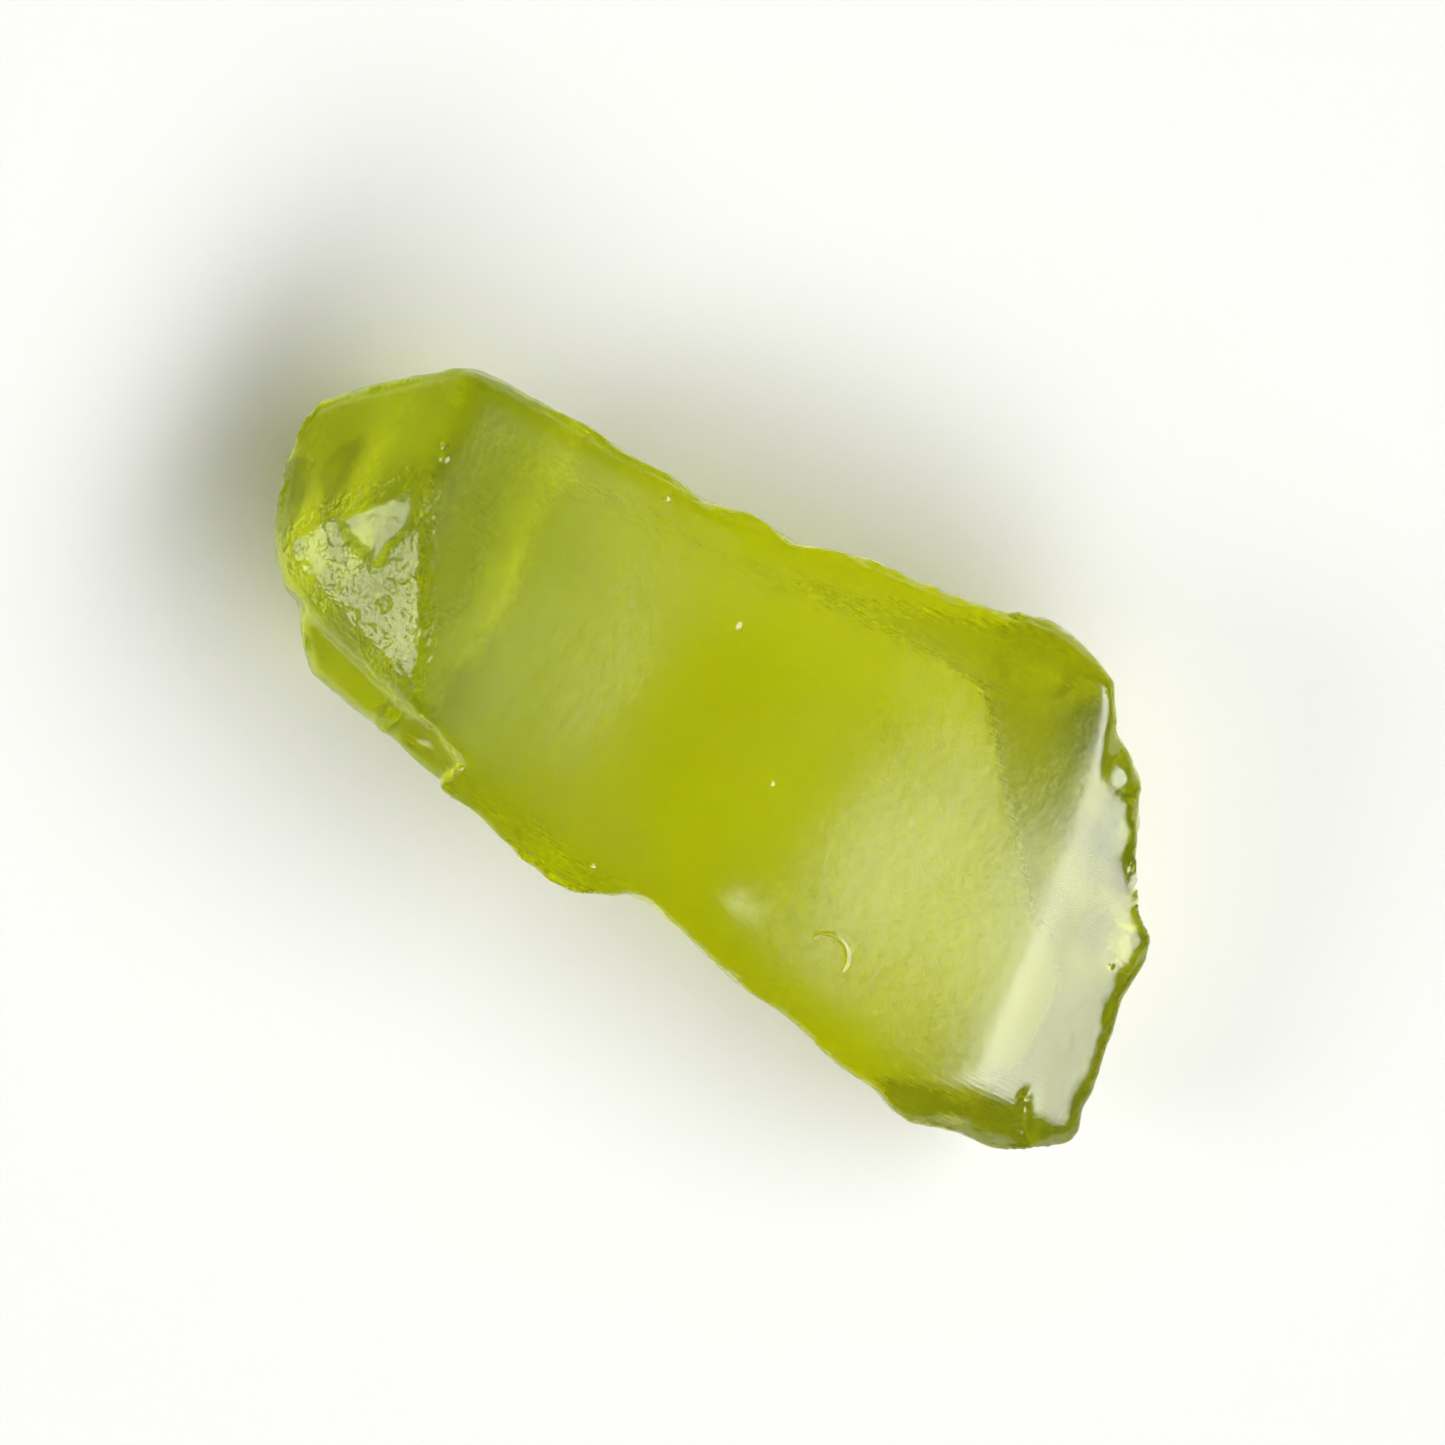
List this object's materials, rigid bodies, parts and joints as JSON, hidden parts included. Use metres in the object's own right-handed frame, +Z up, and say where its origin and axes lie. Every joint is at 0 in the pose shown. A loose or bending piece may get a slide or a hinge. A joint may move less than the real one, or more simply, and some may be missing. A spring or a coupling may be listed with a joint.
{
  "type": "rough peridot crystal",
  "caption": "Rough gem crystal: a flat cleaved plate with a wedge end, a bevelled broad end, a side ledge and a broad lower face that it rests on.",
  "frame": {"origin": "centre of the bounding box's base, on the flat lower face that the crystal rests on", "axes": "+X along the crystal from its wedge end to its broad end, +Y across it, +Z up out of the resting face"},
  "size_m": [0.0198, 0.0098, 0.0063],
  "materials": {
    "peridot": "clear yellow-green gem olivine with soft waxy broken faces"
  },
  "bodies": {
    "root": {"peridot_crystal": "peridot"}
  },
  "joints": []
}
